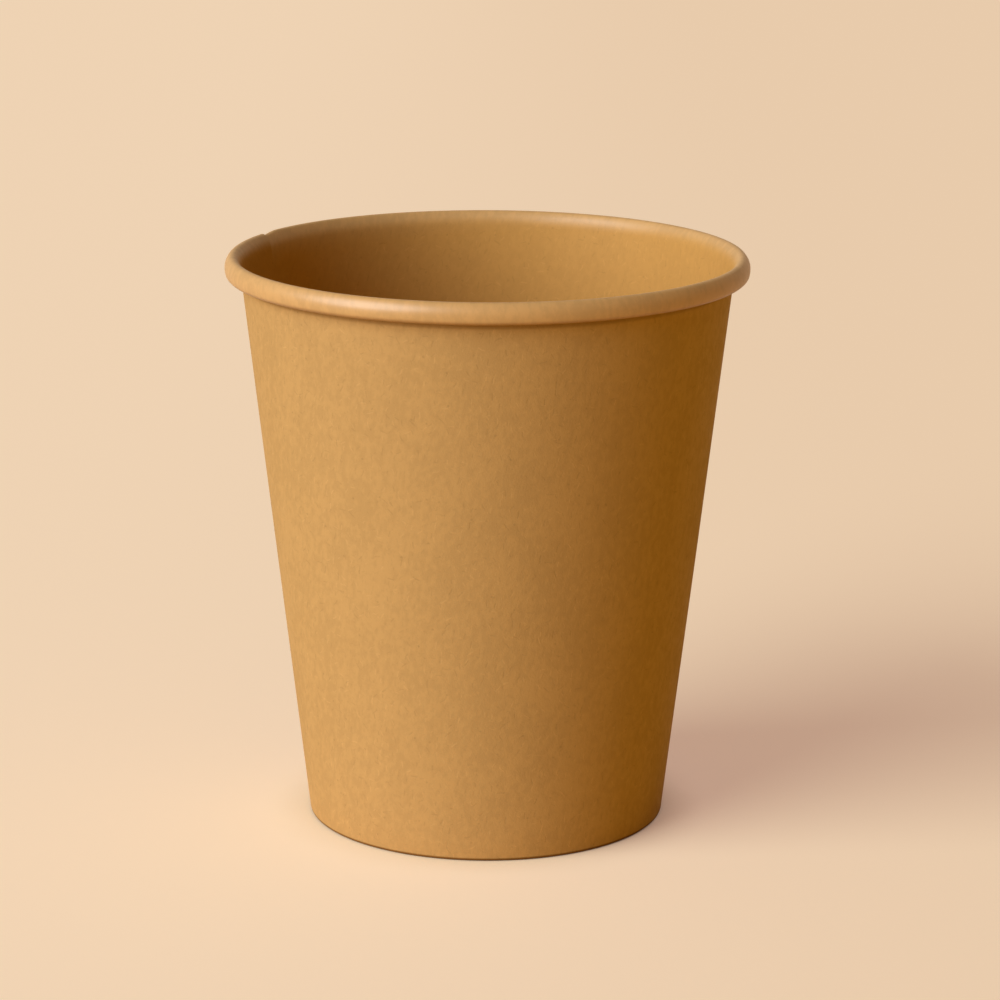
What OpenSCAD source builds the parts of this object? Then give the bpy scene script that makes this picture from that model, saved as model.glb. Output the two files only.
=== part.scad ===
// Single-wall paper coffee cup of about a quarter litre, with a rolled rim and a recessed base.
//
// The side wall is one fan-shaped sheet of kraft board. It is wrapped into a cone, sealed along
// an overlapped side seam, rolled outward at the top and folded inward at the foot. The base is
// a second piece of board, pressed into a shallow cap whose skirt stands in that fold.
//
// +Z is up. The origin is at the middle of the foot, on the table. All sizes are in millimetres.

/* [Cup] */
// Outer diameter of the rolled rim, which a push-on lid fits
rim_d = 80; // [64:0.5:100]
// Outer diameter of the wall where it meets the table
foot_d = 55.2; // [44:0.1:70]
// Height from the table to the top of the rim
height = 88; // [50:0.5:170]

/* [Board] */
// Thickness of the board that the wall is wrapped from
wall_t = 0.35; // [0.25:0.05:0.4]
// Thickness of the board that the base is pressed from
base_t = 0.35; // [0.2:0.05:0.6]
// Film of coating between the base's skirt and the board on each side of it
seal_gap = 0.03; // [0.02:0.01:0.1]

/* [Rolled rim] */
// Width of the roll, square to the wall
roll_w = 2.6; // [2:0.1:3]
// Height of the roll, from its underside to the top of the rim
roll_h = 3.3; // [3:0.1:6]
// Length of board that turns up behind the roll
tuck_h = 0.8; // [0.2:0.1:1]
// Gap between the wall and the board that turns up beside it
tuck_gap = 0.1; // [0.05:0.05:0.25]

/* [Foot] */
// Height of the base's upper face above the table
base_z = 8.3; // [5:0.1:15]
// Outer radius of the two creases that fold the board under the foot
crease_r = 0.45; // [0.41:0.01:0.5]
// Distance from the base's upper face down to the edge of the folded leaf
leaf_drop = 2.3; // [1.6:0.1:3.5]
// Outer radius of the bend from the base's flat into its skirt
base_bend_r = 1; // [0.7:0.1:1.5]
// Distance between the skirt's lower edge and the floor of the fold
skirt_gap = 0.3; // [0.2:0.1:1]

/* [Side seam] */
// Width over which the two ends of the sheet overlap
seam_w = 6.5; // [4:0.5:12]
// Depth to which the sealed ends are pressed into each other
seam_press = 0.05; // [0.03:0.01:0.1]
// Direction in which the seam faces, counted from +X towards +Y
seam_angle = 160; // [0:5:355]

/* [Hidden] */
$fn = 180;

rim_r = rim_d / 2;
foot_r = foot_d / 2;

// The roll's upper bend turns about this centre, a half width in from the rim's outer face.
roll_r = roll_w / 2;
roll_x = rim_r - roll_r;
roll_z = height - roll_r;

// The wall's outer face runs from the foot's edge and touches the roll's upper bend from within,
// which gives its slope.
reach = norm([roll_x - foot_r, roll_z]);
slope = atan2(roll_x - foot_r, roll_z) - asin((roll_r - wall_t) / reach);

// The lower bend is tighter, so that the board comes back beside the wall and not into it.
return_r = roll_r - (wall_t + tuck_gap) / 2;
roll_side = (roll_h - roll_r - return_r - (roll_r - return_r) * sin(slope)) / cos(slope);

// One end of the sheet lies outside the other, so it stands out by one board, less the press.
seam_step = wall_t - seam_press;
seam_shift = seam_step / cos(slope);

// The fold holds the skirt, a film on each side of it, and the sheet's second layer at the seam.
pocket = base_t + 2 * seal_gap + seam_step;
fold_w = 2 * wall_t + pocket;

// Centres of the two creases. The outer one touches the wall, the inner one touches the leaf.
outer_crease_x = foot_r + crease_r * tan(slope) - crease_r / cos(slope);
inner_crease_x = outer_crease_x - (fold_w - 2 * crease_r) / cos(slope);
leaf_h = (base_z - leaf_drop - crease_r) / cos(slope);
wall_h = (roll_x - outer_crease_x) * sin(slope) + (roll_z - crease_r) * cos(slope);

// The base's bend turns about this centre, with its skirt one film inside the wall.
base_bend_z = base_z - base_bend_r;
wall_inside_r = foot_r + base_bend_z * tan(slope) - wall_t / cos(slope);
base_flat_r = wall_inside_r - (base_bend_r + seal_gap) / cos(slope);
skirt_h = (base_bend_z - wall_t - skirt_gap) / cos(slope);

// Blocks that cut the sheet reach past it on every side.
far = 2 * (rim_d + height);

// A straight stretch of board from the origin along +X, with what follows it at its end.
module run(length, board_t) {
    translate([0, -board_t / 2])
        square([length, board_t]);
    translate([length, 0])
        children();
}

// A bend in the board, to the left where the angle is positive, with what follows it at its end.
// The radius is the board's outer one, at most half a turn is made.
module bend(outer_r, angle, board_t) {
    centre_y = sign(angle) * (outer_r - board_t / 2);
    translate([0, centre_y]) {
        intersection() {
            difference() {
                circle(outer_r);
                circle(outer_r - board_t);
            }
            translate([0, -2 * outer_r])
                square([2 * outer_r, 4 * outer_r]);
            rotate(angle)
                translate([-2 * outer_r, -2 * outer_r])
                    square([2 * outer_r, 4 * outer_r]);
        }
        rotate(angle)
            translate([0, -centre_y])
                children();
    }
}

// Section of the wall's sheet, followed from the edge of the leaf, down and under the foot, up
// the wall, over the roll and back up behind it. X is the distance from the cup's axis.
module sheet_section() {
    leaf_x = inner_crease_x - (crease_r - wall_t / 2) * cos(slope) + leaf_h * sin(slope);
    leaf_z = crease_r + (crease_r - wall_t / 2) * sin(slope) + leaf_h * cos(slope);
    translate([leaf_x, leaf_z])
        rotate(-90 - slope)
            run(leaf_h, wall_t)
            bend(crease_r, 90 + slope, wall_t)
            run(outer_crease_x - inner_crease_x, wall_t)
            bend(crease_r, 90 - slope, wall_t)
            run(wall_h, wall_t)
            bend(roll_r, -180, wall_t)
            run(roll_side, wall_t)
            bend(return_r, -180, wall_t)
            run(tuck_h, wall_t);
}

// Section of the base, followed from the axis along its flat and down its skirt.
module base_section() {
    translate([0, base_z - base_t / 2])
        run(base_flat_r, base_t)
        bend(base_bend_r, -90 - slope, base_t)
        run(skirt_h, base_t);
}

// The sheet is followed round the cup as a split ring. It goes three quarters of the way about
// the cup's axis, then straight on by the seam's shift, and then a quarter about an axis that is
// shifted as far, so that its last stretch comes to lie outside its first.
// Here the seam faces +Y and the shifted quarter lies between +X and +Y.
module side_wall() {
    color("peru")
        rotate([0, 0, seam_angle - 90]) {
            difference() {
                rotate_extrude()
                    sheet_section();
                translate([seam_w / 2, 0, -far / 2])
                    cube([far, far, far]);
            }
            translate([0, seam_shift, 0])
                rotate([90, 0, 0])
                    linear_extrude(seam_shift)
                        sheet_section();
            intersection() {
                translate([0, seam_shift, 0])
                    rotate_extrude()
                        sheet_section();
                translate([-seam_w / 2, seam_shift, -far / 2])
                    cube([far, far, far]);
            }
        }
}

module base_disc() {
    color("burlywood")
        rotate_extrude()
            base_section();
}

side_wall();
base_disc();
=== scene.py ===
# %% [markdown]
# # A paper coffee cup
# This lesson dresses one kraft paper cup. A cup like this is made from two pieces of board. The
# side is a fan-shaped blank that is wrapped round a cone, sealed where its two ends overlap,
# rolled outward at the rim and folded inward at the foot. The base is a disc that is pressed into
# a shallow cap and stands in that fold.
#
# The CAD model holds both pieces at their real size. Here each is built again as one mesh that
# follows the board itself, so that the overlap, the rim and the foot look like bent paper.

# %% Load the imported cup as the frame
import math

import bpy
import numpy as np
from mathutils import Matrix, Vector


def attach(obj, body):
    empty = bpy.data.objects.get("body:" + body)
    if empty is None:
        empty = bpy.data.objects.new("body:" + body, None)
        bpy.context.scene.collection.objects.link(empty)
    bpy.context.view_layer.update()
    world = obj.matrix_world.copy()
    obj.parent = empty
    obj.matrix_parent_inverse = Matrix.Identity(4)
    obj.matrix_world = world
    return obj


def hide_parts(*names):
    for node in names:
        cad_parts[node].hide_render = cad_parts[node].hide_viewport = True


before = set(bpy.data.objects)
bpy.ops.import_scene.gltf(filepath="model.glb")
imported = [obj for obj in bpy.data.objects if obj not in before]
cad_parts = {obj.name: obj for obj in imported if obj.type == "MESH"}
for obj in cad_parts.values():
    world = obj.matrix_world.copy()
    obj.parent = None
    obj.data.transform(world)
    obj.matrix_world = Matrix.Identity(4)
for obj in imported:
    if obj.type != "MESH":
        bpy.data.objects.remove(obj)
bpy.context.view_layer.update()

MM = 0.001

# %% [markdown]
# ## The camera
# The photograph was taken with a long lens from a little above the rim. The distance, the tilt
# and the focal length were found by fitting a camera to the cup's outline. They could be set by
# eye, but the fit keeps the ellipse of the rim and the taper of the wall true at the same time.

# %% Camera
CAMERA_AT = (0.0, -0.5621, 0.1908)
CAMERA_TURN_DEG = (75.867, -0.223, -0.151)
SENSOR_MM = 36.0
FOCAL_PX = 3744.0
IMAGE_PX = 1000.0
NEAR_M, FAR_M = 0.01, 50.0

camera_data = bpy.data.cameras.new("camera")
camera_data.sensor_width = SENSOR_MM
camera_data.lens = FOCAL_PX / IMAGE_PX * SENSOR_MM
camera_data.clip_start = NEAR_M
camera_data.clip_end = FAR_M
camera = bpy.data.objects.new("camera", camera_data)
camera.location = CAMERA_AT
camera.rotation_euler = [math.radians(a) for a in CAMERA_TURN_DEG]
bpy.context.scene.collection.objects.link(camera)
bpy.context.scene.camera = camera
bpy.context.scene.view_settings.view_transform = "Standard"
print("lens:", round(camera_data.lens, 1), "mm")

# %% [markdown]
# ## Sizes of the board
# These are the sizes of the CAD model, in millimetres. Three of them are eased a little. The roll
# has a crown between two shoulders in place of one plain bend. The gap behind the roll is wider,
# because the wall swells towards the tuck there. The base's skirt ends higher, to clear the raised
# fold at the seam.
#
# The board is followed along the middle of its thickness, in a section through the cup's axis: x
# is the distance from the axis, z is the height. A bend is an arc about a centre, and a straight
# stretch joins two bends. The fold at the foot is as wide as its own two layers, the base's skirt,
# a film of coating on each side of it, and the sheet's second layer at the seam.

# %% Sizes
RIM_R = 40.0
FOOT_R = 27.6
HEIGHT = 88.0
BOARD = 0.35

ROLL_R = 1.3
ROLL_H = 3.3
CROWN_R = 0.82
OUTSIDE_R, OUTSIDE_DEG = 2.3, 42.0
INSIDE_R, INSIDE_DEG = 4.0, 40.0
TUCK_H = 0.8
TUCK_GAP = 0.35

BASE_Z = 8.3
CREASE_R = 0.45
LEAF_DROP = 2.3
BASE_BEND_R = 1.0
SKIRT_GAP = 0.5
SEAL = 0.03

LAP_W = 6.5
PRESS = 0.05
SEAM_DEG = 160.0

roll_x, roll_z = RIM_R - ROLL_R, HEIGHT - ROLL_R
reach = math.hypot(roll_x - FOOT_R, roll_z)
slope = math.atan2(roll_x - FOOT_R, roll_z) - math.asin((ROLL_R - BOARD) / reach)
SIN, COS = math.sin(slope), math.cos(slope)

step = BOARD - PRESS
fold_w = 2 * BOARD + BOARD + 2 * SEAL + step
outer_crease_x = FOOT_R + CREASE_R * math.tan(slope) - CREASE_R / COS
inner_crease_x = outer_crease_x - (fold_w - 2 * CREASE_R) / COS
leaf_h = (BASE_Z - LEAF_DROP - CREASE_R) / COS

print("the wall leans out by", round(math.degrees(slope), 2), "degrees")

# %% [markdown]
# ## The section of the wrapped sheet
# The sheet has one thickness everywhere, so its section is drawn as one path that knows which way
# the sheet's outer face looks. It could be a curve drawn by hand, but arcs and straight stretches
# keep the thickness true in every bend. Each row of the path holds a place and that direction.

# %% Bends and straight stretches
STEPS = {"leaf": 7, "inner crease": 6, "outer crease": 7, "wall": 22,
         "shoulder": 5, "crown": 10, "low bend": 11}


def arc(centre, radius, start, end, steps, facing):
    """Points of a bend, from one angle to another, with the way that the outer face looks."""
    angle = np.linspace(start, end, steps + 1)
    ray = np.stack([np.cos(angle), np.sin(angle)], 1)
    return np.hstack([centre + radius * ray, facing * ray])


def between(a, b, steps):
    """Points inside a straight stretch, without its two ends."""
    share = np.linspace(0, 1, steps + 1)[1:-1, None]
    return (1 - share) * a + share * b


print("steps of each stretch:", STEPS)

# %% [markdown]
# ### The roll
# The CAD model's roll is made of two plain bends. On the real cup the wall swells gently into a
# tighter crown, so here a wide shoulder stands on each side of the crown, and the one inside the
# cup is the wider. The crown's radius was solved so that the wall stays on the CAD model's line.
# A low bend then brings the board back up behind the roll. The radii that are worked out here are
# those of the roll's outside, and the path needs those of the board's middle.

# %% Bends of the roll
up_wall, off_wall = np.array([SIN, COS]), np.array([COS, -SIN])
to_inside, to_outside = math.radians(180 - INSIDE_DEG), math.radians(OUTSIDE_DEG)


def roll_bends(out, nest, second):
    """Centres and radii of the inside shoulder, the crown, the outside shoulder, the low bend."""
    shrink = (out - nest) / 2
    inside_r, crown_r, outside_r = INSIDE_R - shrink, CROWN_R - shrink, OUTSIDE_R - shrink
    far_x = RIM_R - outside_r
    crown = np.array([far_x + (outside_r - crown_r) * math.cos(to_outside), HEIGHT - crown_r])
    far = np.array([far_x, crown[1] - (outside_r - crown_r) * math.sin(to_outside)])
    near = crown - (inside_r - crown_r) * np.array([math.cos(to_inside), math.sin(to_inside)])
    square_w = (far - near) @ off_wall + inside_r + outside_r
    low_r = (square_w - BOARD - TUCK_GAP - second) / 2
    side = (far[1] - (outside_r - low_r) * SIN - low_r - (HEIGHT - ROLL_H)) / COS
    low = far + (outside_r - low_r) * off_wall - side * up_wall
    middle_radii = np.array([inside_r, crown_r, outside_r, low_r]) - (BOARD / 2 + nest)
    return (near, crown, far, low), middle_radii


print("radii of the roll's bends:", [round(float(r), 2) for r in roll_bends(0, 0, 0)[1]], "mm")

# %% [markdown]
# ### The whole path
# The path runs from the edge of the folded leaf, under the foot, up the wall and over the roll to
# the edge that is tucked behind it. Where the sheet's two ends overlap, the sections differ a
# little:
#
# - `out` moves the wall outward, so that the last stretch lies outside the first.
# - `nest` makes the rim's roll smaller about the same centre, because there the last stretch lies
#   inside the first. Paper that is outermost on the wall is innermost in the roll.
# - `second` leaves room behind the roll for a wall of two layers.
# - `lift` raises the fold at the foot, where the other layer lies under it.

# %% Section of the sheet
def sheet_path(out=0.0, nest=0.0, second=0.0, lift=0.0):
    """Rows of x, z and the outer face's direction, from the leaf's edge to the roll's tuck."""
    lean = lift * np.array([math.tan(slope), 1.0])
    crease = CREASE_R - BOARD / 2
    inner = np.array([inner_crease_x + lift / COS, CREASE_R]) + lean
    outer = np.array([outer_crease_x + out / COS, CREASE_R]) + lean
    (near, crown, far, low), radii = roll_bends(out, nest, second)
    inside_r, crown_r, outside_r, low_r = radii

    across = near - outer
    lean_here = math.atan2(*across) - math.asin((crease + inside_r) / math.hypot(*across))
    half, turn = math.pi, 2 * math.pi

    leaf = arc(inner, crease, half - slope, 1.5 * half, STEPS["inner crease"], 1)
    heel = arc(outer, crease, 1.5 * half, turn - lean_here, STEPS["outer crease"], 1)
    rise = arc(near, inside_r, half - lean_here, to_inside, STEPS["shoulder"], -1)
    over = arc(crown, crown_r, to_inside, to_outside, STEPS["crown"], -1)[1:-1]
    fall = arc(far, outside_r, to_outside, -slope, STEPS["shoulder"], -1)
    under = arc(low, low_r, -slope, -half - slope, STEPS["low bend"], -1)

    leaf_end = leaf[0] + np.append(leaf_h * up_wall, [0, 0])
    tuck_end = under[-1] + np.append(TUCK_H * up_wall, [0, 0])
    return np.vstack([
        leaf_end, between(leaf_end, leaf[0], STEPS["leaf"]), leaf,
        heel, between(heel[-1], rise[0], STEPS["wall"]), rise,
        over, fall, under, tuck_end,
    ])


path = sheet_path()
path_length = np.append(0, np.cumsum(np.hypot(*np.diff(path[:, :2], axis=0).T)))
blank_w = path_length[-1]
print("points along the sheet:", len(path), " width of the blank:", round(blank_w, 1), "mm")

# %% [markdown]
# ## Stations round the cup
# The sheet starts at one edge of the overlap, goes once round and ends at the other edge, a little
# over a full turn later. Stations are close together at the seam, where the section changes, and
# further apart elsewhere. Near the seam they run parallel to it, as the sheet's two edges do, and
# further off they are radial.

# %% Stations
FINE_MM, COARSE_MM = 0.25, 0.5
SEAM_ZONE_MM = 12.0
PARALLEL_MM, RADIAL_MM = 5.0, 20.0


def smooth(x, start, end):
    """0 before start, 1 after end, and an even curve between them."""
    t = np.clip((x - start) / (end - start), 0, 1)
    return t * t * (3 - 2 * t)


def spread(start, end, spacing):
    """Evenly spaced values, without the last one."""
    count = math.ceil((end - start) / spacing)
    return np.linspace(start, end, count, endpoint=False)


def turned(aside, radius):
    """Angle from the seam's middle, for a distance aside that is measured on the rim."""
    parallel = 1 - smooth(abs(aside), PARALLEL_MM, RADIAL_MM)
    radial = aside / RIM_R
    return radial + parallel * (np.arcsin(np.clip(aside / radius, -1, 1)) - radial)


half_lap = LAP_W / 2
round_mm = 2 * math.pi * RIM_R
along = np.concatenate([
    spread(-half_lap, SEAM_ZONE_MM, FINE_MM),
    spread(SEAM_ZONE_MM, round_mm - SEAM_ZONE_MM, COARSE_MM),
    spread(round_mm - SEAM_ZONE_MM, round_mm + half_lap, FINE_MM),
    [round_mm + half_lap],
])
print("stations:", len(along))

# %% [markdown]
# ## The two layers of the seam
# Each station gets its own section. The last quarter of the sheet drifts outward until it lies on
# the first. Just before the overlap it dips under the first layer's roll, which leaves the small
# notch that such rims have. The first layer rides over the last one's fold at the foot and settles
# on the table again a few millimetres further on.

# %% Sections at the stations
SETTLE_MM = 4.5
CLEAR_MM = 0.3
MID_WALL_ROW = 30

sections, angles = [], []
for place in along:
    is_last_part = place > round_mm / 2
    aside = place - round_mm if is_last_part else place
    if is_last_part:
        quarter = math.cos(max(aside / RIM_R, -math.pi / 2))
        dip = smooth(aside, -half_lap - SETTLE_MM, -half_lap - CLEAR_MM)
        section = sheet_path(out=step * quarter, nest=step * dip, second=step * dip)
    else:
        ride = step * (1 - smooth(aside, half_lap + CLEAR_MM, half_lap + SETTLE_MM))
        section = sheet_path(second=ride, lift=ride)
    turn = 2 * math.pi if is_last_part else 0
    sections.append(section)
    angles.append(turned(aside, section[:, 0]) + turn)
sections, angles = np.array(sections), np.array(angles)
wall_turn = math.degrees(np.ptp(angles[:, MID_WALL_ROW]))
print("sections:", sections.shape, " turn of the wall:", round(wall_turn, 1), "degrees")

# %% [markdown]
# ## Hand-made unevenness
# A wrapped cup isn't a perfect cone. Its wall is out of round by up to a tenth of a millimetre,
# while the dies keep the foot and the rim true. The same small shift is given to every layer that
# stands at one place, so that the two layers of the seam stay apart.
#
# The leaf at the foot is pressed against the base's skirt by a knurled roller, which leaves fine
# upright ridges. They could be a bump in the material, but they show in the outline of the recess
# when the cup is turned over, so they are made in the mesh.

# %% Unevenness and knurl
WALL_WAVES = ((2, 0.05, 0.4), (3, 0.035, 2.1), (5, 0.02, 4.0), (7, 0.012, 1.2))
WAVE_FROM_Z, WAVE_FULL_Z, WAVE_TO_Z = 12.0, 40.0, 84.0
KNURL_COUNT = 100
KNURL_DEEP = 0.05
KNURL_FROM_Z, KNURL_TO_Z, KNURL_FADE = 1.3, 5.3, 0.5


def wave(angle, z):
    """Shift of the board away from the axis, which is nothing at the foot and at the rim."""
    shift = sum(size * np.sin(count * angle + start) for count, size, start in WALL_WAVES)
    return shift * smooth(z, WAVE_FROM_Z, WAVE_FULL_Z) * (1 - smooth(z, WAVE_FULL_Z, WAVE_TO_Z))


def knurl(angle, z, looks_in):
    """Depth of the ridges, on the faces that look towards the axis at the foot."""
    band = smooth(z, KNURL_FROM_Z, KNURL_FROM_Z + KNURL_FADE)
    band = band * (1 - smooth(z, KNURL_TO_Z - KNURL_FADE, KNURL_TO_Z))
    ridge = 0.5 + 0.5 * np.cos(KNURL_COUNT * angle)
    return KNURL_DEEP * ridge * band * looks_in


print("waves of the wall:", len(WALL_WAVES), " ridges of the knurl:", KNURL_COUNT)

# %% [markdown]
# ## Points and meshes
# Both pieces are made in the same way. A place in a section and an angle round the cup give a
# point, and a list of faces joins the points. Each point also takes its place on the flat blank
# with it, and each face its material, which is the coated side, the bare side or a cut edge.

# %% Points and mesh objects
COATED, BARE, CUT = 0, 1, 2


def placed(r, z, angle):
    """Points in millimetres from radius, height and angle round the cup."""
    return np.stack(np.broadcast_arrays(r * np.cos(angle), r * np.sin(angle), z), -1)


def make_mesh(name, points, faces, blank, slots):
    """A mesh object in metres, with each point's place on the flat blank and each face's slot."""
    mesh = bpy.data.meshes.new(name)
    mesh.from_pydata((points * MM).tolist(), [], faces)
    mesh.attributes.new("blank", "FLOAT_VECTOR", "POINT")
    mesh.attributes["blank"].data.foreach_set("vector", blank.astype(np.float32).ravel())
    mesh.polygons.foreach_set("material_index", slots)
    mesh.polygons.foreach_set("use_smooth", [True] * len(faces))
    mesh.update()
    made = bpy.data.objects.new(name, mesh)
    bpy.context.scene.collection.objects.link(made)
    return made


print("slots of the faces: coated", COATED, " bare", BARE, " cut", CUT)

# %% [markdown]
# ## The sheet's two faces
# Each face lies half a board from the middle of the sheet. A thin surface with a solidify modifier
# would do that too, but in the overlap each layer gives up a little of its thickness on the side
# where the two meet, as the press does when the seam is sealed. The wall's waves are added to both
# faces, and the knurl only to the leaf's face that looks towards the axis.

# %% Faces of the sheet
HALF_GAP_MM = 0.002
NIP = PRESS / 2 + HALF_GAP_MM
NIP_FADE_MM = 1.0
seam_turn = math.radians(SEAM_DEG)
stations, per_face = len(along), len(path)

first_layer = 1 - smooth(along, half_lap, half_lap + NIP_FADE_MM)
in_lap = np.where(along < round_mm / 2, first_layer, 0)[:, None]
in_lap_end = smooth(along - round_mm, -half_lap - NIP_FADE_MM, -half_lap)[:, None]
faces_of = {}
for side, nip in ((1, in_lap), (-1, in_lap_end)):
    offset = side * (BOARD / 2 - NIP * nip)
    r = sections[..., 0] + offset * sections[..., 2]
    z = sections[..., 1] + offset * sections[..., 3]
    angle = angles + seam_turn
    r = r + wave(angle, z)
    if side == 1:
        r = r + knurl(angles, z, np.clip(-sections[..., 2], 0, 1) ** 2)
    faces_of[side] = placed(r, z, angle)
print("points on each face:", stations * per_face)

# %% [markdown]
# ## Places on the flat blank
# The blank is a piece of a fan, so a cone's point has the same distance from the fan's centre as
# from the cone's tip. The materials use this place, so that the fibres follow the board over the
# rim and under the foot. The other side of the board is moved a metre along the blank, so that the
# two sides don't show the same fibres.

# %% Places on the blank
FACE_APART_MM = 1000.0

tip_mm = outer_crease_x / SIN - path_length[STEPS["leaf"] + STEPS["inner crease"]]
fan_r = tip_mm + path_length
fan_turn = (angles - math.pi) * SIN
blank_xy = placed(fan_r, 0.0, fan_turn)
blank = np.concatenate([blank_xy, blank_xy[:, ::-1] + [FACE_APART_MM, 0, 0]], 1)
print("the fan's radius:", round(fan_r[0], 1), "to", round(fan_r[-1], 1), "mm")

# %% [markdown]
# ## Mesh of the wrapped sheet
# Every station gives a closed loop: the outer face from the leaf to the tuck, and the inner face
# back again. The loops are joined into a tube, and the two ends of the tube are the sheet's cut
# edges. Made in this way the mesh is closed, with nothing left to fill or merge.

# %% Mesh of the sheet
points = np.concatenate([faces_of[1], faces_of[-1][:, ::-1]], 1)

ring = 2 * per_face
faces, slots = [], []
for j in range(stations - 1):
    for i in range(ring):
        a, b = j * ring + i, j * ring + (i + 1) % ring
        faces.append((a, a + ring, b + ring, b))
        slots.append(CUT if i % per_face == per_face - 1 else BARE if i < per_face else COATED)
for j, flip in ((0, False), (stations - 1, True)):
    for i in range(per_face - 1):
        quad = [j * ring + k for k in (i, i + 1, ring - 2 - i, ring - 1 - i)]
        faces.append(tuple(quad[::-1] if flip else quad))
        slots.append(CUT)

wall = make_mesh("wall_sheet", points.reshape(-1, 3), faces, blank.reshape(-1, 3), slots)
print("wall sheet:", len(wall.data.vertices), "points,", 2 * len(faces), "triangles")

# %% [markdown]
# ## The base
# The base is a disc of the same board, whose edge is drawn down over a ring into a skirt. It
# stands with its skirt inside the folded foot. Its section is followed from near the axis outward,
# in the same way as the sheet's: a flat, a bend and the skirt, which leans as the wall does.

# %% Section of the base
BASE_STEPS = {"flat": 9, "bend": 8, "skirt": 12}

base_bend_z = BASE_Z - BASE_BEND_R
wall_inside_r = FOOT_R + base_bend_z * math.tan(slope) - BOARD / COS
base_flat_r = wall_inside_r - (BASE_BEND_R + SEAL) / COS
skirt_h = (base_bend_z - BOARD - SKIRT_GAP) / COS

middle_z = BASE_Z - BOARD / 2
bend = arc(np.array([base_flat_r, base_bend_z]), BASE_BEND_R - BOARD / 2,
           math.pi / 2, -slope, BASE_STEPS["bend"], -1)
first_r = base_flat_r / (BASE_STEPS["flat"] + 1)
flat_r = np.linspace(first_r, base_flat_r, BASE_STEPS["flat"] + 1)[:-1]
flat = np.array([[r, middle_z, 0, -1] for r in flat_r])
skirt_end = bend[-1] + np.array([-skirt_h * SIN, -skirt_h * COS, 0, 0])
skirt = between(bend[-1], skirt_end, BASE_STEPS["skirt"])
base_path = np.vstack([flat, bend, skirt, skirt_end])
base_steps = np.hypot(*np.diff(base_path[:, :2], axis=0).T)
base_length = first_r + np.append(0, np.cumsum(base_steps))
print("radius of the base's blank:", round(base_length[-1], 1), "mm")

# %% [markdown]
# ### Pleats
# A disc has too much board for its skirt, so the board gathers into fine pleats in the bend, and
# the press flattens them below it. The CAD piece is smooth. Here the same section is swept with
# the pleats in it, always inward, so that the skirt never meets the wall. They are a little closer
# together in some places than in others, because no blank gathers evenly.

# %% Faces of the base
BASE_STATIONS = 720
PLEAT_COUNT, PLEAT_DRIFTS = 90, 3
PLEAT_DEEP, PLEAT_PRESSED = 0.06, 0.02
PRESSED_AFTER_BENDS = 1.7

angle = np.linspace(0, 2 * math.pi, BASE_STATIONS, endpoint=False)[:, None]
bend_end, pressed_end = (base_flat_r + x * BASE_BEND_R for x in (1, PRESSED_AFTER_BENDS))
drawn = smooth(base_length, base_flat_r, bend_end)
pressed = smooth(base_length, bend_end, pressed_end)
deep = PLEAT_DEEP - (PLEAT_DEEP - PLEAT_PRESSED) * pressed
pleat = 0.5 + 0.5 * np.cos(PLEAT_COUNT * angle + np.sin(PLEAT_DRIFTS * angle))
gather = deep * drawn * pleat
rings = []
for side in (1, -1):
    r = base_path[:, 0] + side * BOARD / 2 * base_path[:, 2] - gather
    z = base_path[:, 1] + side * BOARD / 2 * base_path[:, 3]
    rings.append(placed(r, z, angle))
print("pleats:", PLEAT_COUNT, " deepest:", round(gather.max(), 3), "mm")

# %% [markdown]
# ### Mesh of the base
# The lower face, the skirt's edge and the upper face are joined round the cup, and on each face a
# fan of triangles closes the middle. The disc's place on its own flat blank lies a metre away from
# the sheet's, so that the base has fibres of its own.

# %% Mesh of the base
disc_xy = placed(base_length, 0.0, angle) + [0, FACE_APART_MM, 0]
base_points = np.concatenate([rings[0], rings[1][:, ::-1]], 1)
base_blank = np.concatenate([disc_xy, disc_xy[:, ::-1] + [FACE_APART_MM, 0, 0]], 1)

count, ring = len(base_path), 2 * len(base_path)
faces, slots = [], []
for j in range(BASE_STATIONS):
    for i in range(ring - 1):
        a, b = j * ring + i, (j + 1) % BASE_STATIONS * ring + i
        faces.append((a, b, b + 1, a + 1))
        slots.append(BARE if i < count - 1 else CUT if i == count - 1 else COATED)
centres = BASE_STATIONS * ring + np.arange(2)
for j in range(BASE_STATIONS):
    a, b = j * ring, (j + 1) % BASE_STATIONS * ring
    faces += [(b, a, int(centres[0])), (a + ring - 1, b + ring - 1, int(centres[1]))]
    slots += [BARE, COATED]
middle = [[0, 0, middle_z - BOARD / 2], [0, 0, middle_z + BOARD / 2]]
middle_blank = [[0, FACE_APART_MM, 0], [FACE_APART_MM, FACE_APART_MM, 0]]
base_points = np.vstack([base_points.reshape(-1, 3), middle])
base_blank = np.vstack([base_blank.reshape(-1, 3), middle_blank])
base = make_mesh("base_cap", base_points, faces, base_blank, slots)
print("base:", len(base.data.vertices), "points,", len(faces), "faces")

# %% [markdown]
# ## Cut edges
# The board is cut by a die, so its edges are crisp but never knife-sharp. A bevel modifier breaks
# them by a few hundredths of a millimetre, which is enough to catch a line of light. It only takes
# edges that turn sharply, so the bends of the board stay as they are.

# %% Bevel
BREAK_MM, BREAK_SEGMENTS = 0.04, 2
SHARP_FROM_DEG = 60

for piece in (wall, base):
    bevel = piece.modifiers.new("cut edge", "BEVEL")
    bevel.width = BREAK_MM * MM
    bevel.segments = BREAK_SEGMENTS
    bevel.limit_method = "ANGLE"
    bevel.angle_limit = math.radians(SHARP_FROM_DEG)
    bevel.harden_normals = True
    bevel.material = CUT
print("cut edges broken by", BREAK_MM, "mm")

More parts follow.
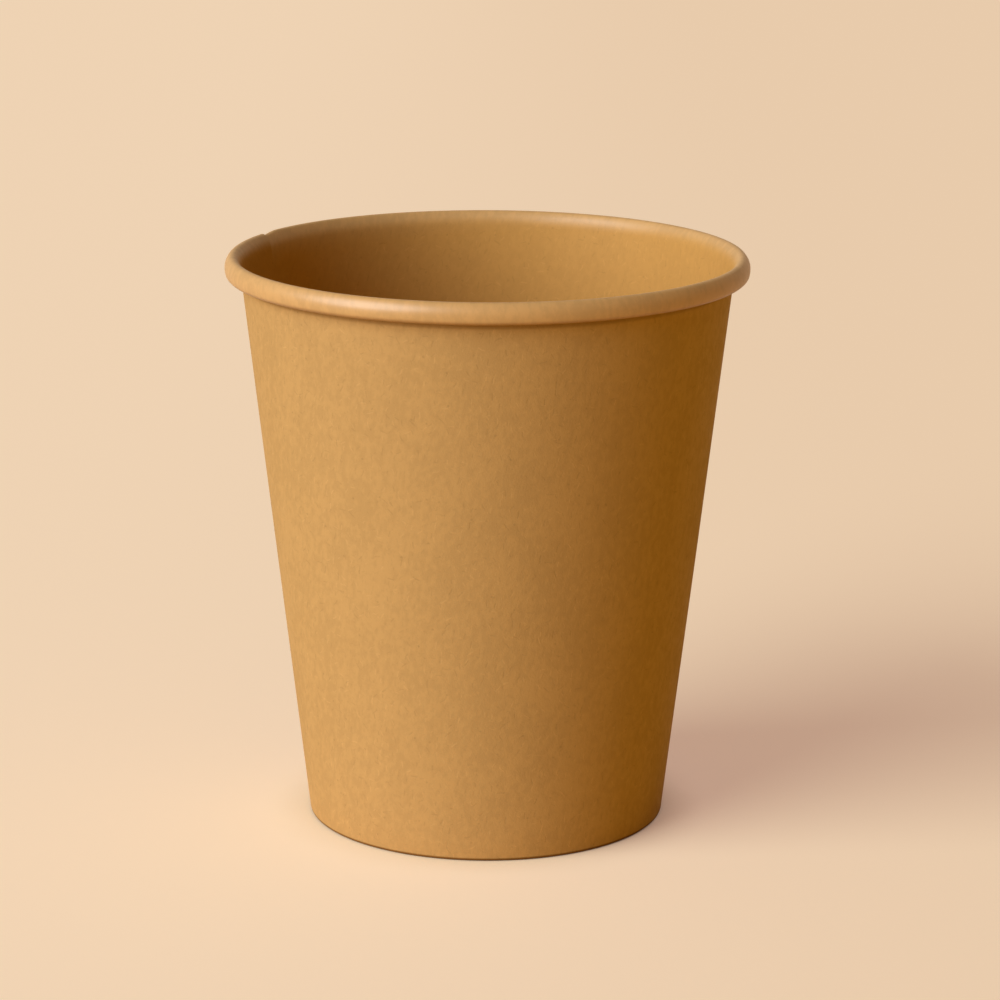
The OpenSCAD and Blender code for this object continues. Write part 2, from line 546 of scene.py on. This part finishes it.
# %% [markdown]
# ## Patterns in the board
# Kraft board is unbleached pulp. Close up it shows short fibres that lie every way, some paler and
# some darker than the rest, a few specks of bark, and soft clouds where the pulp lay thicker. The
# patterns could be painted, but noise that is laid on the flat blank has no seams and any size.
# Each pattern is a group, so that both sides of the board and the cut edge can use it with values
# of their own.

# %% Group helpers
def group(name, inputs, outputs):
    """A shader node group with named number or vector inputs and number outputs."""
    tree = bpy.data.node_groups.new(name, "ShaderNodeTree")
    for label, value in inputs.items():
        kind = "NodeSocketVector" if value is None else "NodeSocketFloat"
        socket = tree.interface.new_socket(label, in_out="INPUT", socket_type=kind)
        if value is not None:
            socket.default_value = value
    for label in outputs:
        tree.interface.new_socket(label, in_out="OUTPUT", socket_type="NodeSocketFloat")
    return tree, tree.nodes.new("NodeGroupInput"), tree.nodes.new("NodeGroupOutput")


def add(tree, kind, inputs=None, **settings):
    """A node with its settings, whose inputs are numbers or the outputs of other nodes."""
    made = tree.nodes.new(kind)
    for name, value in settings.items():
        setattr(made, name, value)
    for name, value in (inputs or {}).items():
        if isinstance(value, bpy.types.NodeSocket):
            tree.links.new(value, made.inputs[name])
        else:
            made.inputs[name].default_value = value
    return made


def ramp(tree, value, low, high, to_low=0.0, to_high=1.0):
    """The value eased from one range to another."""
    inputs = {"Value": value, "From Min": low, "From Max": high,
              "To Min": to_low, "To Max": to_high}
    made = add(tree, "ShaderNodeMapRange", inputs, interpolation_type="SMOOTHSTEP")
    return made.outputs["Result"]


def calc(tree, operation, a, b=0.0):
    """One sum of two values."""
    return add(tree, "ShaderNodeMath", {0: a, 1: b}, operation=operation).outputs[0]


def calc_place(tree, operation, a, b):
    """One sum of two places."""
    return add(tree, "ShaderNodeVectorMath", {0: a, 1: b}, operation=operation).outputs[0]


def noise(tree, place, per_mm, detail, rough=0.5, dimensions="2D"):
    """Soft noise, whose blotches are about as wide as one millimetre over per_mm."""
    inputs = {"Vector": place, "Scale": per_mm, "Detail": detail, "Roughness": rough}
    return add(tree, "ShaderNodeTexNoise", inputs, noise_dimensions=dimensions).outputs


def cell_pattern(tree, place, per_mm):
    """A plane split into cells, with the cell's middle, the distance to it and a random colour."""
    inputs = {"Vector": place, "Scale": per_mm}
    return add(tree, "ShaderNodeTexVoronoi", inputs, voronoi_dimensions="2D").outputs


helpers = (group, add, ramp, calc, calc_place, noise, cell_pattern)
print("node helpers:", [helper.__name__ for helper in helpers])

# %% [markdown]
# ### Fibres
# A Voronoi pattern splits the blank into cells and tells each point where the middle of its cell
# is. Around that middle a thin stroke is drawn, turned by the cell's random colour. Only a share
# of the cells gets a stroke, and some strokes are shorter and fainter than others. More of them lie
# up and down the cup than across it, because a paper machine lays the fibres along its run. A
# little noise bends the place first, so that the strokes aren't straight.

# %% Fibre group
SWAY_PER_MM = 0.9
SHORTEST, FAINTEST = 0.3, 0.4
TAPER_FROM, TAPER_TO = 0.3, 0.6

fibres, given, result = group(
    "fibres",
    {"Place": None, "Per mm": 0.5, "Long": 1.2, "Wide": 0.2, "Share": 0.4, "Bend": 0.4},
    ["Mask"])
sway = noise(fibres, given.outputs["Place"], SWAY_PER_MM, 1.0)["Color"]
both_sides = calc_place(fibres, "SUBTRACT", sway, (0.5, 0.5, 0.5))
shift = add(fibres, "ShaderNodeVectorMath", {0: both_sides, "Scale": given.outputs["Bend"]},
            operation="SCALE").outputs[0]
swayed = calc_place(fibres, "ADD", given.outputs["Place"], shift)
cells = cell_pattern(fibres, swayed, given.outputs["Per mm"])
dice = add(fibres, "ShaderNodeSeparateColor", {"Color": cells["Color"]}).outputs

either_way = calc(fibres, "SUBTRACT", calc(fibres, "MULTIPLY", dice[0], 2.0), 1.0)
mostly_upright = calc(fibres, "MULTIPLY", either_way, calc(fibres, "ABSOLUTE", either_way))
turn_by = calc(fibres, "MULTIPLY", mostly_upright, math.pi / 2)
off_middle = calc_place(fibres, "SUBTRACT", swayed, cells["Position"])
rotated = add(fibres, "ShaderNodeVectorRotate", {"Vector": off_middle, "Angle": turn_by},
              rotation_type="Z_AXIS").outputs[0]
split = add(fibres, "ShaderNodeSeparateXYZ", {0: rotated}).outputs
along_it, across_it = (calc(fibres, "ABSOLUTE", split[i]) for i in (0, 1))

long_here = calc(fibres, "MULTIPLY", given.outputs["Long"], calc(fibres, "ADD", dice[2], SHORTEST))
taper_from, taper_to = (calc(fibres, "MULTIPLY", long_here, x) for x in (TAPER_FROM, TAPER_TO))
half_wide = calc(fibres, "MULTIPLY", given.outputs["Wide"], 0.5)
ends = ramp(fibres, along_it, taper_from, taper_to, 1.0, 0.0)
edges = ramp(fibres, across_it, 0.0, half_wide, 1.0, 0.0)
kept = calc(fibres, "LESS_THAN", dice[1], given.outputs["Share"])
faint = calc(fibres, "ADD", calc(fibres, "MULTIPLY", dice[2], 1 - FAINTEST), FAINTEST)
stroke = calc(fibres, "MULTIPLY", calc(fibres, "MULTIPLY", ends, edges),
              calc(fibres, "MULTIPLY", kept, faint))
fibres.links.new(stroke, result.inputs["Mask"])
print("group:", fibres.name)

# %% [markdown]
# ### Specks
# Specks of bark are the middles of a few cells of a Voronoi pattern. Each cell has a random
# colour, and only the cells whose colour passes a limit get a speck. Fine noise shakes the place
# first, so that the specks are ragged and not round.

# %% Speck group
RAGGED_PER_MM, RAGGED_MM = 4.0, 0.25
SOLID_SHARE = 0.5

specks, given, result = group(
    "specks", {"Place": None, "Per mm": 0.7, "Size": 0.1, "Share": 0.2}, ["Mask"])
ragged = noise(specks, given.outputs["Place"], RAGGED_PER_MM, 1.0)["Color"]
shaken = add(specks, "ShaderNodeVectorMath",
             {0: ragged, 1: [RAGGED_MM] * 3, 2: given.outputs["Place"]},
             operation="MULTIPLY_ADD").outputs[0]
cells = cell_pattern(specks, shaken, given.outputs["Per mm"])
solid = calc(specks, "MULTIPLY", given.outputs["Size"], SOLID_SHARE)
near = ramp(specks, cells["Distance"], solid, given.outputs["Size"], 1.0, 0.0)
dice = add(specks, "ShaderNodeSeparateColor", {"Color": cells["Color"]}).outputs
chosen = calc(specks, "LESS_THAN", dice[0], given.outputs["Share"])
specks.links.new(calc(specks, "MULTIPLY", near, chosen), result.inputs["Mask"])
print("group:", specks.name)

# %% [markdown]
# ### Clouds
# Pulp settles unevenly on the wire of the paper machine. Two noises, one of about a centimetre and
# one of about a millimetre, make the board a little lighter and darker from place to place. The
# finer one is the stronger. Both are drawn out along the fibres.

# %% Cloud group
DRAWN_OUT = (0.6, 1.0, 1.0)
FINER = 8.0

clouds, given, result = group(
    "clouds", {"Place": None, "Per mm": 0.12, "Fine share": 1.6}, ["Value"])
drawn_out = calc_place(clouds, "MULTIPLY", given.outputs["Place"], DRAWN_OUT)
fine_per_mm = calc(clouds, "MULTIPLY", given.outputs["Per mm"], FINER)
wide = noise(clouds, drawn_out, given.outputs["Per mm"], 2.0)[0]
fine = noise(clouds, drawn_out, fine_per_mm, 3.0, rough=0.6)[0]
wide_part = calc(clouds, "SUBTRACT", wide, 0.5)
fine_part = calc(clouds, "SUBTRACT", fine, 0.5)
fine_part = calc(clouds, "MULTIPLY", fine_part, given.outputs["Fine share"])
both_parts = calc(clouds, "ADD", wide_part, fine_part)
clouds.links.new(calc(clouds, "ADD", both_parts, 0.5), result.inputs["Value"])
print("group:", clouds.name)

# %% [markdown]
# ### The roll, and painted shade at the groove and the heel
# The roll is marked by the die that curls it. Its film is stretched and rubbed there, which makes
# it paler and shinier. The groove where the roll meets the wall, and the heel, where the wall turns
# under the foot, are darkened with painted shade: the dark line of a contact shadow.
#
# The roll is the only place that lies so far from the axis, so the distance from the axis finds it.
# The groove is found by its height, and the heel by its height and its distance from the axis,
# which leaves out the underside. A painted mask could follow a wobbly rim better, but this one
# needs no unwrapping. Inside the cup the wall passes the groove's height too. `Groove from` keeps
# the painted shade away from there.

# %% Roll mask and painted shade group
ROLL_FROM_R, ROLL_FULL_R = 37.2, 38.0
GROOVE_Z, GROOVE_SHARE = 84.48, 0.45
GROOVE_FULL, GROOVE_END = 0.4, 0.95
FOOT_FULL_Z, FOOT_END_Z = 0.3, 0.6
HEEL_FROM_R, HEEL_FULL_R = 27.1, 27.4

roll_and_painted_shade, given, result = group(
    "roll_and_painted_shade", {"Place": None, "Groove from": 0.0}, ["On roll", "Painted shade"])
level = calc_place(roll_and_painted_shade, "MULTIPLY", given.outputs["Place"], (1.0, 1.0, 0.0))
from_axis = add(roll_and_painted_shade, "ShaderNodeVectorMath", {0: level}, operation="LENGTH").outputs["Value"]
up = add(roll_and_painted_shade, "ShaderNodeSeparateXYZ", {0: given.outputs["Place"]}).outputs[2]

# Painted shade: a dark line in the groove under the roll and at the heel of the foot.
off_groove = calc(roll_and_painted_shade, "ABSOLUTE", calc(roll_and_painted_shade, "SUBTRACT", up, GROOVE_Z))
groove = ramp(roll_and_painted_shade, off_groove, GROOVE_FULL, GROOVE_END, GROOVE_SHARE, 0.0)
outside = calc(roll_and_painted_shade, "GREATER_THAN", from_axis, given.outputs["Groove from"])
groove_shade = calc(roll_and_painted_shade, "MULTIPLY", outside, groove)
low = ramp(roll_and_painted_shade, up, FOOT_FULL_Z, FOOT_END_Z, 1.0, 0.0)
heel_shade = calc(roll_and_painted_shade, "MULTIPLY", low, ramp(roll_and_painted_shade, from_axis, HEEL_FROM_R, HEEL_FULL_R))
on_roll = ramp(roll_and_painted_shade, from_axis, ROLL_FROM_R, ROLL_FULL_R)
roll_and_painted_shade.links.new(on_roll, result.inputs["On roll"])
roll_and_painted_shade.links.new(calc(roll_and_painted_shade, "MAXIMUM", groove_shade, heel_shade), result.inputs["Painted shade"])
print("group:", roll_and_painted_shade.name)

# %% [markdown]
# ## Colour of the board
# A pattern is laid on the board by placing its group in the material, with values of its own. It is
# moved aside first, so that no two layers of fibres fall on each other. Its mask then carries the
# board's brown over to another tone: paler or darker for fibres, dark for dust and bark. The clouds
# come first, as they do in the pulp.

# %% Patterns laid on the board
CLOUD_FROM, CLOUD_TO = 0.2, 0.8
PALE_GAIN, PALE_LIFT = 1.35, 0.03
DEEP_TONE, DUST_TONE, BARK_TONE = 0.6, 0.7, 0.4
SMALL_SHARE = 0.7


def mixed(tree, share, under, over):
    """One colour that goes over to another with the share."""
    made = add(tree, "ShaderNodeMix", data_type="RGBA")
    tree.links.new(share, made.inputs[0])
    for socket, value in ((made.inputs[6], under), (made.inputs[7], over)):
        if isinstance(value, bpy.types.NodeSocket):
            tree.links.new(value, socket)
        else:
            socket.default_value = (*value, 1)
    return made.outputs[2]


def tinted(tree, under, mask, strength, over):
    """A colour that takes on another one where the mask is, as far as the strength says."""
    return mixed(tree, calc(tree, "MULTIPLY", mask, strength), under, over)


def laid(tree, source, place, aside=0, **values):
    """The mask of a pattern group with its values, moved aside by some millimetres."""
    used = add(tree, "ShaderNodeGroup", node_tree=source)
    moved = calc_place(tree, "ADD", place, (aside, 2 * aside, 0))
    tree.links.new(moved, used.inputs["Place"])
    for key, value in values.items():
        used.inputs[key.replace("_", " ")].default_value = value
    return used.outputs[0]


def clouded(tree, cloudy, tone, amount):
    """A tone that is a little darker and lighter with the clouds."""
    darker, lighter = [x * (1 - amount) for x in tone], [x * (1 + amount) for x in tone]
    return tinted(tree, darker, ramp(tree, cloudy, CLOUD_FROM, CLOUD_TO), 1.0, lighter)


def fibred(tree, brown, place, colour, pale, dark):
    """The brown with its fibres, dust and bark, and the masks of the pale and deep fibres."""
    light = laid(tree, fibres, place, aside=31, Per_mm=0.8, Long=0.9,
                 Wide=0.32, Share=0.35)
    deep = laid(tree, fibres, place, aside=67, Per_mm=0.75, Long=1.0,
                Wide=0.32, Share=0.35)
    dust = laid(tree, fibres, place, aside=113, Per_mm=1.6, Long=0.5,
                Wide=0.28, Share=0.4)
    bark = laid(tree, specks, place, Per_mm=0.6, Size=0.13, Share=0.07)
    brown = tinted(tree, brown, light, pale, [min(1, x * PALE_GAIN + PALE_LIFT) for x in colour])
    for mask, strength, tone in ((deep, dark, DEEP_TONE), (dust, SMALL_SHARE * dark, DUST_TONE),
                                 (bark, SMALL_SHARE * dark, BARK_TONE)):
        brown = tinted(tree, brown, mask, strength, [x * tone for x in colour])
    return brown, light, deep


print("tones against the brown: deep", DEEP_TONE, " dust", DUST_TONE, " bark", BARK_TONE)

# %% [markdown]
# ## Surface of the board
# Paper has a tooth: a fine grain, with the pale fibres a little proud of it and the deep ones a
# little below. It is far too fine for the mesh, so it is a bump. The roughness follows the clouds,
# because denser pulp is smoother.
#
# Because the rim rolls outward, the roll shows the coated side, and that is why the rim catches the
# light and the wall doesn't. The roll's mask adds a clear coat there. A coat of a high index at a
# part of its weight shines from the front and doesn't turn grey where it is seen from the side.

# %% Tooth and polish
GRAIN_PER_MM, FIBRE_HEIGHT = 2.4, 0.3
TOOTH_MM = 0.04
POLISH_ROUGH, POLISH_IOR, POLISH_SHARE = 0.38, 2.2, 0.42
CURL_TINT, CURL_CLOUD = 0.8, 0.06


def toothed(tree, shader, place, light, deep, tooth):
    """A bump of fine grain, with the fibres in it."""
    grain = noise(tree, place, GRAIN_PER_MM, 3.0, rough=0.6, dimensions="3D")[0]
    height = calc(tree, "ADD", grain, calc(tree, "MULTIPLY", light, FIBRE_HEIGHT))
    height = calc(tree, "SUBTRACT", height, calc(tree, "MULTIPLY", deep, FIBRE_HEIGHT))
    inputs = {"Height": height, "Strength": tooth, "Distance": TOOTH_MM * MM}
    bump = add(tree, "ShaderNodeBump", inputs)
    tree.links.new(bump.outputs["Normal"], shader.inputs["Normal"])


def polished(tree, shader, brown, on_roll, tone):
    """A clear coat on the roll, and the brown with the roll's paler tone."""
    polish = calc(tree, "MULTIPLY", on_roll, POLISH_SHARE)
    tree.links.new(polish, shader.inputs["Coat Weight"])
    shader.inputs["Coat Roughness"].default_value = POLISH_ROUGH
    shader.inputs["Coat IOR"].default_value = POLISH_IOR
    return tinted(tree, brown, on_roll, CURL_TINT, tone)


print("polish on the roll:", POLISH_SHARE, " depth of the tooth:", TOOTH_MM, "mm")

# %% [markdown]
# ## The board's two sides and its cut edge
# The outside of the sheet is bare kraft: matt, with a tooth that can be felt. The inside has a thin
# film of coating that holds the drink. It makes the brown a little deeper and smoother. The die's
# cut shows torn fibres and is paler. It has no place on the blank of its own, so its pattern is
# laid in space.

# %% Board materials
KRAFT = (0.555, 0.35, 0.14)
COATED_KRAFT = (0.615, 0.337, 0.098)
CURLED_KRAFT = (0.63, 0.39, 0.165)
TORN_KRAFT = (0.66, 0.47, 0.25)
# Painted shade: the tone and strength that darken the groove under the roll and the heel.
PAINTED_SHADE_TONE, PAINTED_SHADE_STRENGTH = (0.25, 0.15, 0.04), 0.8
COATED_GROOVE_FROM_R = 37.9
MM_PER_M = (1000.0, 1000.0, 1000.0)


def board(name, colour, *, pale, dark, cloud, rough, rough_cloud, tooth, gloss,
          curled=None, torn=False):
    """A kraft board: its brown, the strength of its pattern, and how its surface takes light."""
    made = bpy.data.materials.new(name)
    made.use_nodes = True
    tree = made.node_tree
    shader = tree.nodes["Principled BSDF"]
    in_metres = add(tree, "ShaderNodeTexCoord").outputs["Object"]
    in_space = calc_place(tree, "MULTIPLY", in_metres, MM_PER_M)
    on_blank = add(tree, "ShaderNodeAttribute", attribute_name="blank").outputs["Vector"]
    place = in_space if torn else on_blank

    cloudy = laid(tree, clouds, place)
    brown = clouded(tree, cloudy, colour, cloud)
    brown, light, deep = fibred(tree, brown, place, colour, pale, dark)
    roll_and_shade = add(tree, "ShaderNodeGroup", node_tree=roll_and_painted_shade)
    tree.links.new(in_space, roll_and_shade.inputs["Place"])
    if curled:
        roll_and_shade.inputs["Groove from"].default_value = COATED_GROOVE_FROM_R
        roll_tone = clouded(tree, cloudy, curled, CURL_CLOUD)
        brown = polished(tree, shader, brown, roll_and_shade.outputs["On roll"], roll_tone)
    # Painted shade in the groove under the roll and at the heel.
    painted_shade_brown = [x * tone for x, tone in zip(colour, PAINTED_SHADE_TONE)]
    brown = tinted(tree, brown, roll_and_shade.outputs["Painted shade"], PAINTED_SHADE_STRENGTH, painted_shade_brown)
    tree.links.new(brown, shader.inputs["Base Color"])

    rough_here = ramp(tree, cloudy, CLOUD_FROM, CLOUD_TO, rough + rough_cloud, rough - rough_cloud)
    tree.links.new(rough_here, shader.inputs["Roughness"])
    shader.inputs["Specular IOR Level"].default_value = gloss
    toothed(tree, shader, place, light, deep, tooth)
    return made


coated = board("kraft_coated", COATED_KRAFT, pale=0.2, dark=0.24, cloud=0.024,
               rough=0.42, rough_cloud=0.03, tooth=0.4, gloss=0.04, curled=CURLED_KRAFT)
bare = board("kraft_bare", KRAFT, pale=0.27, dark=0.3, cloud=0.042,
             rough=0.68, rough_cloud=0.05, tooth=0.8, gloss=0.08)
cut = board("kraft_cut_edge", TORN_KRAFT, pale=0.8, dark=0.9, cloud=0.12,
            rough=0.85, rough_cloud=0.05, tooth=1.0, gloss=0.1, torn=True)
for piece in (wall, base):
    for material in (coated, bare, cut):
        piece.data.materials.append(material)
print("materials:", [m.name for m in wall.data.materials])

# %% [markdown]
# ## The floor
# The photograph has one pale peach ground that runs up behind the cup without a horizon. A curved
# backdrop could do that, but a large plane is enough for this camera. It isn't part of the cup.

# %% Floor
FLOOR_HALF = 4.0

floor_mesh = bpy.data.meshes.new("floor")
corners = [(-FLOOR_HALF, -FLOOR_HALF, 0), (FLOOR_HALF, -FLOOR_HALF, 0),
           (FLOOR_HALF, FLOOR_HALF, 0), (-FLOOR_HALF, FLOOR_HALF, 0)]
floor_mesh.from_pydata(corners, [], [(0, 1, 2, 3)])
floor = bpy.data.objects.new("floor", floor_mesh)
bpy.context.scene.collection.objects.link(floor)
print("floor:", 2 * FLOOR_HALF, "m square")

# %% [markdown]
# ### Paper of the floor
# Its colour is a little deeper to the right, which is painted falloff of the light across the
# ground.
# The colour that bounces onto the cup is warmer still, which keeps the cup's shaded side a rich
# brown. The Light Path node tells the two apart.

# %% Paper of the floor
BOUNCE_COLOUR = (0.98, 0.58, 0.09)
FLOOR_LEFT = (0.805, 0.753, 0.539)
FLOOR_RIGHT = (0.714, 0.649, 0.43)
GRADIENT_HALF = 0.1
FLOOR_ROUGH, FLOOR_GLOSS = 0.9, 0.0


def seen_directly(tree):
    """1 for what the camera sees, also in gloss or through glass, 0 for light that bounces."""
    kind = add(tree, "ShaderNodeLightPath")
    seen = calc(tree, "MAXIMUM", kind.outputs["Is Camera Ray"], kind.outputs["Is Glossy Ray"])
    return calc(tree, "MAXIMUM", seen, kind.outputs["Is Transmission Ray"])


floor_material = bpy.data.materials.new("floor_paper")
floor_material.use_nodes = True
tree = floor_material.node_tree
matt = tree.nodes["Principled BSDF"]
seen = seen_directly(tree)
place = add(tree, "ShaderNodeSeparateXYZ", {0: add(tree, "ShaderNodeTexCoord").outputs["Object"]})
# Painted falloff of the light: the ground deepens to the right.
to_right = ramp(tree, place.outputs[0], -GRADIENT_HALF, GRADIENT_HALF)
ground = mixed(tree, to_right, FLOOR_LEFT, FLOOR_RIGHT)
tree.links.new(mixed(tree, seen, BOUNCE_COLOUR, ground), matt.inputs["Base Color"])
matt.inputs["Roughness"].default_value = FLOOR_ROUGH
matt.inputs["Specular IOR Level"].default_value = FLOOR_GLOSS
floor_mesh.materials.append(floor_material)
print("floor's material:", floor_material.name)

# %% [markdown]
# ### Glow of the floor
# The photograph's shadow is soft and pale. More light from the surround would lift it, but would
# also wash out the cup's shaded side. So a share of plain glow is added to the floor where it is
# seen directly or in a gloss, and the light that bounces onto the cup has none of it. Close to the
# foot the glow is dimmed as a painted contact shade. The Ambient Occlusion node measures how open
# the floor is there, and the glow is less where it is covered.

# %% Glow of the floor
GLOW_COLOUR = (0.41, 0.28, 0.238)
NO_GLOW_COLOUR = (0.0, 0.0, 0.0)
GLOW_REACH, GLOW_SAMPLES = 0.014, 4
GLOW_NONE, GLOW_FULL = 0.05, 0.75
GLOW_STRENGTH = 1.0

# Painted contact shade: the glow is dimmed where the cup covers the floor.
around = add(tree, "ShaderNodeAmbientOcclusion", {"Distance": GLOW_REACH}, samples=GLOW_SAMPLES)
open_share = ramp(tree, around.outputs["AO"], GLOW_NONE, GLOW_FULL)
glow_share = calc(tree, "MULTIPLY", seen, open_share)
glow = mixed(tree, glow_share, NO_GLOW_COLOUR, GLOW_COLOUR)
tree.links.new(glow, matt.inputs["Emission Color"])
matt.inputs["Emission Strength"].default_value = GLOW_STRENGTH
print("the cup dims the floor's glow within", GLOW_REACH / MM, "mm")

# %% [markdown]
# ## The light
# The photograph has one large soft light to the left of the camera and above it, and a shadow that
# is dark at the foot and fades as it runs out. A lamp with a size could stand there, but its light
# would fade over the floor, and the ground in the photograph is even. So the light is a sun whose
# disc is as wide as a large softbox.

# %% Key light
KEY_TURN_DEG, KEY_RISE_DEG = -146.0, 24.0
KEY_WIDE_DEG = 50.0
KEY_STRENGTH = 3.0
KEY_COLOUR = (1.0, 1.0, 1.0)

key_data = bpy.data.lights.new("key", "SUN")
key_data.angle = math.radians(KEY_WIDE_DEG)
key_data.energy = KEY_STRENGTH
key_data.color = KEY_COLOUR
key = bpy.data.objects.new("key", key_data)
turn, rise = math.radians(KEY_TURN_DEG), math.radians(KEY_RISE_DEG)
level_share = math.cos(rise)
toward = Vector((math.cos(turn) * level_share, math.sin(turn) * level_share, math.sin(rise)))
key.location = toward
key.rotation_mode = "QUATERNION"
key.rotation_quaternion = toward.to_track_quat("Z", "Y")
bpy.context.scene.collection.objects.link(key)
print("key light:", KEY_WIDE_DEG, "degrees wide")

# %% [markdown]
# ### The surround
# The rest of the light is a dim surround. It is more orange than the ground, so that the cup's
# shaded side keeps a full colour. What is seen of it directly or in a gloss is a plain backdrop
# near the tone of the ground.

# %% Surround
SURROUND, SURROUND_STRENGTH = (1.0, 0.6, 0.06), 0.17
BACKDROP, BACKDROP_STRENGTH = (0.82, 0.62, 0.425), 1.0

world = bpy.data.worlds.new("surround")
world.use_nodes = True
bpy.context.scene.world = world
tree = world.node_tree
background = tree.nodes["Background"]
background.inputs["Color"].default_value = (*SURROUND, 1)
background.inputs["Strength"].default_value = SURROUND_STRENGTH
backdrop = add(tree, "ShaderNodeBackground",
               {"Color": (*BACKDROP, 1), "Strength": BACKDROP_STRENGTH})
both = add(tree, "ShaderNodeMixShader",
           {0: seen_directly(tree), 1: background.outputs[0], 2: backdrop.outputs[0]})
tree.links.new(both.outputs[0], tree.nodes["World Output"].inputs["Surface"])
print("surround:", SURROUND_STRENGTH, "of full strength")

# %% [markdown]
# ## Tie the pieces to the CAD model
# Each mesh stands for one CAD node and rides on the cup's only body.

# %% Ride and replace
for piece, node, slot in ((wall, "side_wall", "wall_board"), (base, "base_disc", "base_board")):
    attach(piece, "root")
    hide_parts(node)
